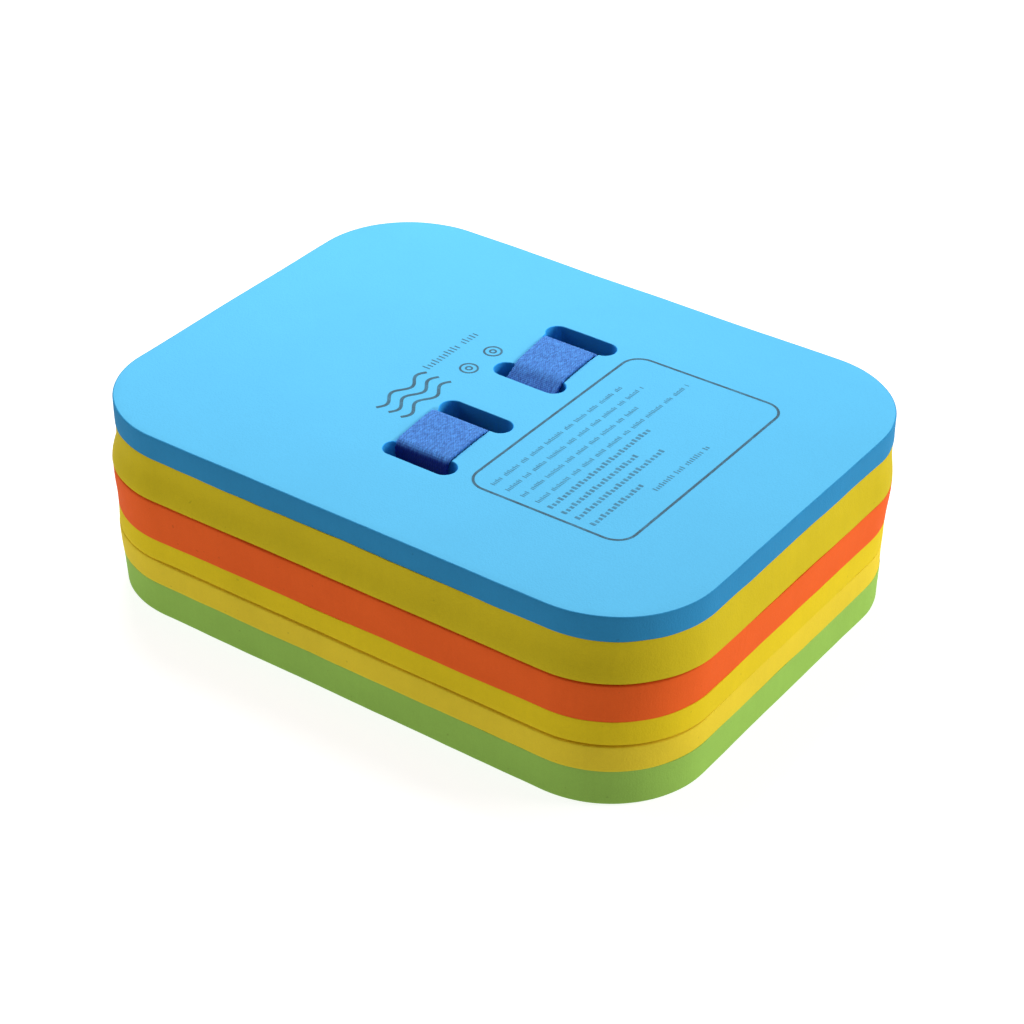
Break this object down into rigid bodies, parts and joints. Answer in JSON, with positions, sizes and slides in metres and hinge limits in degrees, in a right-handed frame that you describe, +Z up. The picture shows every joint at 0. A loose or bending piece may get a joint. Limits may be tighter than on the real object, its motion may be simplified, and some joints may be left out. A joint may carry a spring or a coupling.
{
  "type": "belt-worn foam swim float",
  "caption": "Loose two-colour foam boards with rounded corners, stacked and strung on a webbing waist belt that passes through a row of slots and closes with a side-release buckle.",
  "frame": {"origin": "centre of the boards' underside, on the surface they lie on", "axes": "+X along the boards, +Y across them towards the folded belt, +Z up through the stack"},
  "size_m": [0.281, 0.292, 0.0906],
  "materials": {
    "foam_blue": "closed-cell EVA foam, light sky blue, fine skin grain, matte",
    "foam_yellow": "closed-cell EVA foam, clear yellow, cut edge with fine cells, matte",
    "foam_orange": "closed-cell EVA foam, orange red, cut edge with fine cells, matte",
    "foam_mustard": "closed-cell EVA foam, slightly warmer yellow, cut edge with fine cells, matte",
    "foam_green": "closed-cell EVA foam, leaf green, cut edge with fine cells, matte",
    "webbing": "woven polypropylene webbing, periwinkle blue, slightly fuzzy",
    "elastic": "black ribbed elastic",
    "buckle_plastic": "moulded acetal, black, fine satin texture",
    "thread": "polyester sewing thread, blue",
    "ink": "screen-printed ink, dark slate"
  },
  "bodies": {
    "root": {"bottom_board_green_sheet": "foam_green", "bottom_board_yellow_sheet": "foam_mustard", "belt_under_run": "webbing", "belt_tail_sewn": "webbing", "belt_tail_adjustable": "webbing", "hank_band": "elastic", "buckle_socket": "buckle_plastic", "buckle_plug": "buckle_plastic", "loop_bartack": "thread"},
    "middle_board": {"middle_board_yellow_sheet": "foam_yellow", "middle_board_orange_sheet": "foam_orange"},
    "top_board": {"top_board_yellow_sheet": "foam_yellow", "top_board_blue_sheet": "foam_blue", "belt_bridge_one": "webbing", "belt_bridge_two": "webbing", "print_frame": "ink", "print_lines": "ink", "print_mark": "ink"},
    "prong_right": {"buckle_prong_right": "buckle_plastic"},
    "prong_left": {"buckle_prong_left": "buckle_plastic"}
  },
  "joints": [
    {"name": "middle_board_lift", "type": "slide", "parent": "root", "child": "middle_board", "axis": [0, 0, 1], "range_m": [0, 0.012]},
    {"name": "top_board_lift", "type": "slide", "parent": "middle_board", "child": "top_board", "axis": [0, 0, 1], "range_m": [0, 0.012]},
    {"name": "prong_right_press", "type": "hinge", "parent": "root", "child": "prong_right", "pos_m": [0.0085, 0.1425, 0.0207], "axis": [0, 0, 1], "range_deg": [0, 9], "stiffness_Nm_per_rad": 0.5},
    {"name": "prong_left_press", "type": "hinge", "parent": "root", "child": "prong_left", "pos_m": [-0.0085, 0.1425, 0.0207], "axis": [0, 0, -1], "range_deg": [0, 9], "stiffness_Nm_per_rad": 0.5}
  ]
}
